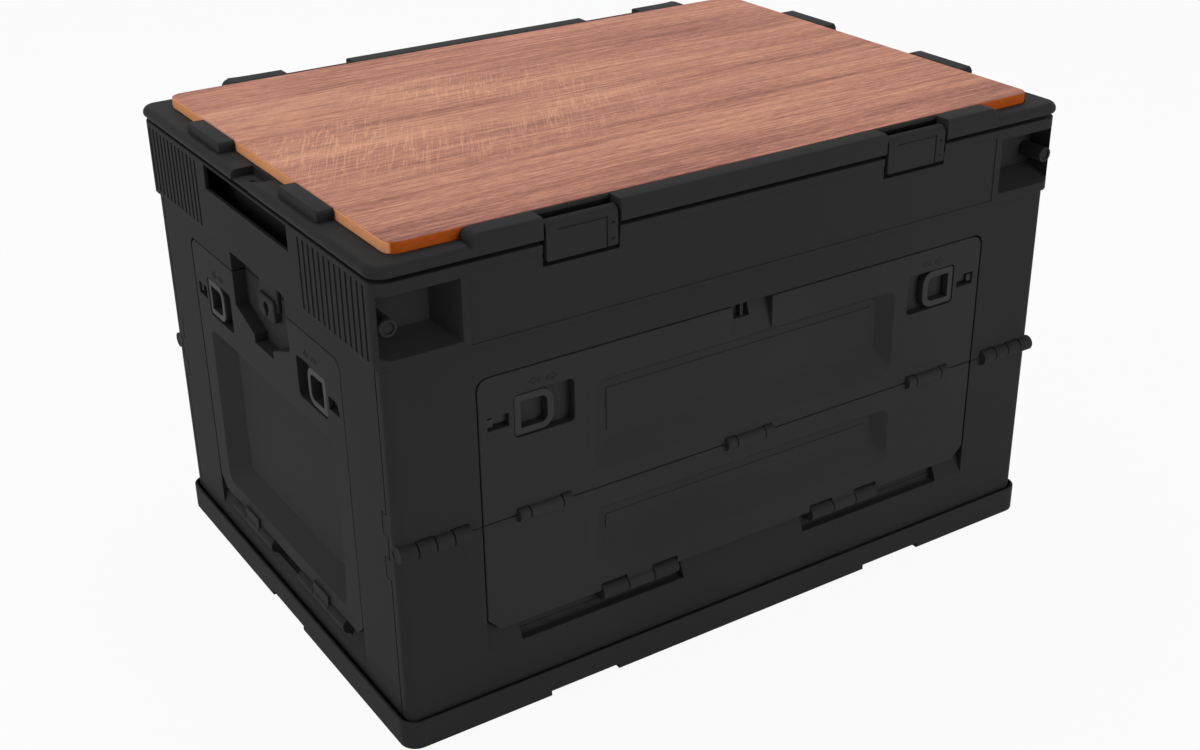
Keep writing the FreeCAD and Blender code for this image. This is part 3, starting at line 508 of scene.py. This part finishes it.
lid_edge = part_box("lid_panel")[1]
board_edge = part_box("wood_board")[1]


def side_view(ends, shoulders):
    """Corners of a block seen from outside, from one foot over the top to the other."""
    arcs = []
    for end, way, radius in zip(ends, (1, -1), shoulders):
        steps = ARC_STEPS if radius else 0
        turns = [radians(90 * step / ARC_STEPS) for step in range(steps + 1)]
        arcs.append([(end + way * radius * (1 - cos(t)), board_edge[2] - radius * (1 - sin(t)))
                     for t in turns])
    return [(ends[0], CAP_LOW), *arcs[0], *reversed(arcs[1]), (ends[1], CAP_LOW)]


def rail_cap(name, ends, across, shoulders, rounding):
    """A cap along X over a front rail or lug, from its outside to its inside along Y."""
    shape = bmesh.new()
    view = side_view(ends, shoulders)
    outside, inside = [[shape.verts.new((x, y, z)) for x, z in view] for y in across]
    shape.faces.new(outside)
    shape.faces.new(list(reversed(inside)))
    for here in range(len(view)):
        there = (here + 1) % len(view)
        shape.faces.new((outside[there], outside[here], inside[here], inside[there]))
    shape.edges.ensure_lookup_table()
    top = set(outside[1:-1])
    edges = [edge for edge in shape.edges if set(edge.verts) <= top]
    bmesh.ops.bevel(shape, geom=edges, offset=rounding, segments=ROUND_STEPS, profile=0.5,
                    affect="EDGES")
    bmesh.ops.recalc_face_normals(shape, faces=shape.faces)
    for face in shape.faces:
        face.smooth = True
    mesh = bpy.data.meshes.new(name)
    shape.to_mesh(mesh)
    shape.free()
    mesh.set_sharp_from_angle(angle=SHARP_ANGLE)
    mesh.materials.append(lid_plastic)
    return mesh


rail_across = (-lid_edge[1] - CAP_SKIN, -board_edge[1] - BOARD_PLAY + CAP_SKIN)
strip_across = (rail_across[1] - STRIP_WIDTH - CAP_SKIN, rail_across[1])
lug_across = (LUG_IN - lid_edge[0] - CAP_SKIN, -board_edge[0] - BOARD_PLAY + CAP_SKIN)
long_caps = [
    rail_cap("rail_left", (-RAIL_HALF, -GAP_FAR), rail_across, (RAIL_SHOULDER, 0), RAIL_ROUND),
    rail_cap("rail_middle", (-GAP_NEAR, GAP_NEAR), rail_across, (0, 0), RAIL_ROUND),
    rail_cap("rail_right", (GAP_FAR, RAIL_HALF), rail_across, (0, RAIL_SHOULDER), RAIL_ROUND),
    rail_cap("strip_left", (-GAP_FAR, -GAP_NEAR), strip_across, (0, 0), STRIP_ROUND),
    rail_cap("strip_right", (GAP_NEAR, GAP_FAR), strip_across, (0, 0), STRIP_ROUND),
]
lug_shoulders = (LUG_ROUND, LUG_ROUND)
end_caps = [
    rail_cap("lug_left", (-LUG_FAR, -LUG_NEAR), lug_across, lug_shoulders, LUG_ROUND / 2),
    rail_cap("lug_right", (LUG_NEAR, LUG_FAR), lug_across, lug_shoulders, LUG_ROUND / 2),
]
caps_by_side = [("front", 0, long_caps), ("back", 180, long_caps),
                ("left", -90, end_caps), ("right", 90, end_caps)]
for side, turned, caps in caps_by_side:
    for mesh in caps:
        dress(f"{side}_{mesh.name}_cap", mesh, Matrix.Rotation(radians(turned), 4, "Z"), "lid")
print("caps:", sum(len(caps) for side, turned, caps in caps_by_side))

# %% [markdown]
# ## Tongues in the end notches
#
# The lid's border is cut away at the middle of each end, over the hand slot. A thin tongue with a
# small square hole closes the notch a little below the border.

# %% Tongues
TONGUE_HALF = (0.0135, 0.0079)
TONGUE_LEVELS = (0.3206, 0.3224)
TONGUE_OUT = 0.2652
EYE_HALF = 0.0016


def rectangle(half_x, half_y):
    corners = ((-half_x, -half_y), (half_x, -half_y), (half_x, half_y), (-half_x, half_y))
    return [Vector(corner) for corner in corners]


tongue_lines = rectangle(*TONGUE_HALF), rectangle(EYE_HALF, EYE_HALF)
tongue_mesh = outlined_plate("tongue", *tongue_lines, TONGUE_LEVELS, lid_plastic)
for side, turned in (("left", -90), ("right", 90)):
    seat = Matrix.Translation((0, TONGUE_HALF[1] - TONGUE_OUT, 0))
    dress(f"{side}_tongue", tongue_mesh, Matrix.Rotation(radians(turned), 4, "Z") @ seat, "lid")
print("tongues: 2")

# %% [markdown]
# ## The floor
#
# The picture is a plain studio shot on white paper, with no horizon. A bright lamp on white paper
# would wash out the black box. So the paper glows only for the eye and in mirrors, and for the
# light it stays common paper, with a part of the shadow of the box left on it.

# %% Floor
FLOOR_SIZE = 80.0
PAPER_GLOW = 0.93
PAPER_TONES = ((0.85, 0.85, 0.85, 1.0), (0.88, 0.88, 0.88, 1.0))


def studio_paper(name):
    """White paper that the camera sees as a backdrop, with the shadow of the box left on it."""
    paper = Finish(name)
    fibres = paper.noise(paper.place(), 300.0)
    tone = paper.mix(fibres, *PAPER_TONES)
    paper.surface(Base_Color=tone, Roughness=0.9, Specular_IOR_Level=0.1)
    white = paper.node("ShaderNodeEmission", None, {"Color": (*WHITE, 1.0)})
    return paper.backdrop(Wire(paper, paper.shader.outputs["BSDF"]), white, PAPER_GLOW)


sheet = bmesh.new()
bmesh.ops.create_grid(sheet, x_segments=1, y_segments=1, size=FLOOR_SIZE / 2)
floor_mesh = bpy.data.meshes.new("studio_floor")
sheet.to_mesh(floor_mesh)
sheet.free()
floor_mesh.materials.append(studio_paper("studio_paper"))
floor = bpy.data.objects.new("studio_floor", floor_mesh)
bpy.context.collection.objects.link(floor)
print("floor:", FLOOR_SIZE, "m across")

# %% [markdown]
# ## Why the ceiling is dark
#
# The panels of a black box are drawn by small differences of light. Under an even sky every face
# gets the same share, and the panels sink into the black. In a studio with light walls and a dark
# ceiling, an upright face gets more light than a sloped one, and that draws the panels. So the
# world is a ramp over the height of the view: light at the horizon, dark overhead. Three soft
# boxes add the direction. The eye doesn't see these walls: as the floor does, the world turns
# white for it, so that the picture has no horizon from any side.

# %% Lamps and world
HORIZON = (0.25, 0.48)
CEILING = (0.70, 0.16)
BOX_MIDDLE = Vector((0.0, 0.0, 0.2))


def studio_world(name):
    """The light of grey walls under a dark ceiling, that the eye sees as white paper."""
    studio = Graph(bpy.data.worlds.new(name))
    way = studio.node("ShaderNodeTexCoord", output="Generated")
    stops = [(height, (shade, shade, shade)) for height, shade in (HORIZON, CEILING)]
    walls = studio.node("ShaderNodeValToRGB", {"stops": stops}, {"Fac": studio.parts(way, "Z")[0]})
    plain = studio.node("ShaderNodeBackground", None, {"Color": walls})
    white = studio.node("ShaderNodeBackground", None, {"Color": (*WHITE, 1.0)})
    return studio.backdrop(plain, white, PAPER_GLOW)


def soft_box(name, place, size, power):
    """A square area lamp at a place, turned to the middle of the box."""
    lamp = bpy.data.lights.new(name, "AREA")
    lamp.size = size
    lamp.energy = power
    box = bpy.data.objects.new(name, lamp)
    bpy.context.collection.objects.link(box)
    away = Vector(place) - BOX_MIDDLE
    box.matrix_world = Matrix.Translation(place) @ away.to_track_quat("Z", "Y").to_matrix().to_4x4()


soft_box("back_light", (0.1, 0.9, 2.6), 2.0, 34.0)
soft_box("left_light", (-2.8, 0.3, 1.2), 1.8, 26.0)
soft_box("front_light", (0.9, -2.8, 1.0), 1.8, 40.0)
bpy.context.scene.world = studio_world("studio")
bpy.context.scene.view_settings.view_transform = "Standard"

# %% [markdown]
# ## The camera
#
# The camera stands off the left front corner, well above the lid, so that the front, the left end
# and the board all show. Its place and its turn come from matching the edges of the box, so they
# are written as a point and two directions. The third direction follows from these two.

# %% Camera
EYE = Vector((-0.6055, -0.94046, 0.66921))
RIGHT = Vector((0.83732, -0.54657, -0.01219))
FORWARD = Vector((0.48504, 0.75297, -0.44472))
lens = bpy.data.cameras.new("studio_camera")
lens.lens = 49.249
lens.sensor_width = 36.0
lens.sensor_fit = "HORIZONTAL"
camera = bpy.data.objects.new("studio_camera", lens)
bpy.context.collection.objects.link(camera)
turn = Matrix((RIGHT, RIGHT.cross(FORWARD), -FORWARD)).transposed()
camera.matrix_world = Matrix.Translation(EYE) @ turn.to_4x4()
bpy.context.scene.camera = camera
print("camera:", tuple(round(v, 3) for v in EYE))
